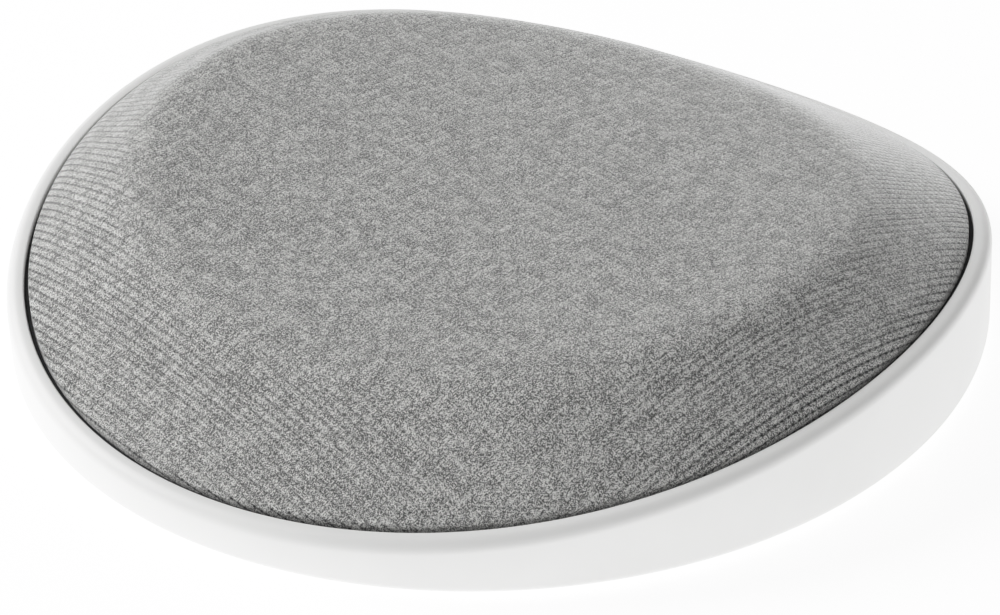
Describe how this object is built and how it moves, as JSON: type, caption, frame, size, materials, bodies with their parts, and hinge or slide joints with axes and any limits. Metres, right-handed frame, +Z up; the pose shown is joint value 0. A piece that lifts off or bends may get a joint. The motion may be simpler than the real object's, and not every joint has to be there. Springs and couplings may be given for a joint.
{
  "type": "smart speaker",
  "caption": "Low round table speaker: white tray with a saddle-cut lip and a padded grey knit top over an up-firing driver, passive radiator and electronics.",
  "frame": {"origin": "centre of the flat surface that the speaker stands on", "axes": "+Z up; -Y is the front, under one of the lip's two high sides; +Y is the rear, with the power inlet, mute slider and reset button; the lip's low sides are at -X and +X"},
  "size_m": [0.15, 0.15, 0.0266],
  "materials": {
    "white_shell": "satin moulded white plastic",
    "white_control": "satin moulded white plastic",
    "grey_control": "fine matt grey plastic",
    "knit": "light grey melange knit",
    "foam": "open-cell charcoal foam",
    "seal_foam": "matt black foam rubber",
    "foot_rubber": "matt grey silicone rubber",
    "black_plastic": "matt black glass-filled plastic",
    "zinc_steel": "zinc-plated steel",
    "magnet": "sintered magnet, dull grey",
    "cone_paper": "black coated paper",
    "roll_rubber": "soft black rubber",
    "spider_cloth": "resin-treated woven cloth",
    "copper": "lacquered copper winding",
    "green_board": "solder-masked glass-fibre board",
    "chip_black": "moulded epoxy",
    "capacitor_can": "bare aluminium can",
    "connector_nylon": "natural nylon",
    "bright_steel": "bright nickel-plated steel",
    "cast_aluminium": "bead-blasted aluminium",
    "thermal_gel": "soft blue-grey silicone pad",
    "led_lens": "clear cast lens",
    "clear_guide": "clear moulded acrylic",
    "lead_jacket": "black silicone jacket",
    "ribbon": "white polyester ribbon"
  },
  "bodies": {
    "housing": {"ballast_plate": "zinc_steel", "base_screws": "zinc_steel", "board_capacitors": "capacitor_can", "board_chips": "chip_black", "board_connectors": "connector_nylon", "board_screws": "zinc_steel", "chassis": "black_plastic", "chassis_screws": "zinc_steel", "chassis_seal": "seal_foam", "driver_basket": "black_plastic", "driver_gasket": "seal_foam", "driver_magnet": "magnet", "driver_screws": "zinc_steel", "driver_spider": "spider_cloth", "driver_surround": "roll_rubber", "driver_terminals": "connector_nylon", "driver_top_plate": "zinc_steel", "driver_yoke": "zinc_steel", "foot_ring": "foot_rubber", "gap_gasket": "seal_foam", "grille_cover": "knit", "grille_foam": "foam", "grille_frame": "black_plastic", "heat_spreader": "cast_aluminium", "lead_grommet": "roll_rubber", "led_board": "green_board", "led_screws": "zinc_steel", "leds": "led_lens", "left_antenna": "green_board", "left_mic_board": "green_board", "light_guide": "clear_guide", "main_board": "green_board", "mic_gaskets": "seal_foam", "mic_leads": "lead_jacket", "mic_screws": "zinc_steel", "microphones": "capacitor_can", "mute_switch_body": "black_plastic", "passive_frame": "black_plastic", "passive_surround": "roll_rubber", "processor_shield": "zinc_steel", "reset_switch_body": "black_plastic", "ribbon_cable": "ribbon", "right_antenna": "green_board", "right_mic_board": "green_board", "speaker_lead": "lead_jacket", "thermal_pad": "thermal_gel", "tray_shell": "white_shell", "usb_port": "bright_steel"},
    "cone": {"driver_cone": "cone_paper", "dust_cap": "cone_paper", "voice_coil": "copper"},
    "radiator": {"passive_plate": "cone_paper", "passive_weight": "zinc_steel"},
    "mute_slider": {"mute_slider": "grey_control"},
    "reset_button": {"reset_button": "white_control"}
  },
  "joints": [
    {"name": "cone_stroke", "type": "slide", "parent": "housing", "child": "cone", "axis": [0, 0, 1], "range_m": [-0.001, 0.001], "stiffness_N_per_m": 1400, "deforming": ["driver_surround", "driver_spider"]},
    {"name": "radiator_stroke", "type": "slide", "parent": "housing", "child": "radiator", "axis": [0, 0, 1], "range_m": [-0.0015, 0.0015], "stiffness_N_per_m": 700, "deforming": ["passive_surround"]},
    {"name": "mute_slide", "type": "slide", "parent": "housing", "child": "mute_slider", "axis": [0.9563, -0.2924, 0], "range_m": [0, 0.002]},
    {"name": "reset_press", "type": "slide", "parent": "housing", "child": "reset_button", "axis": [0.2588, -0.9659, 0], "range_m": [0, 0.0005], "stiffness_N_per_m": 600}
  ]
}
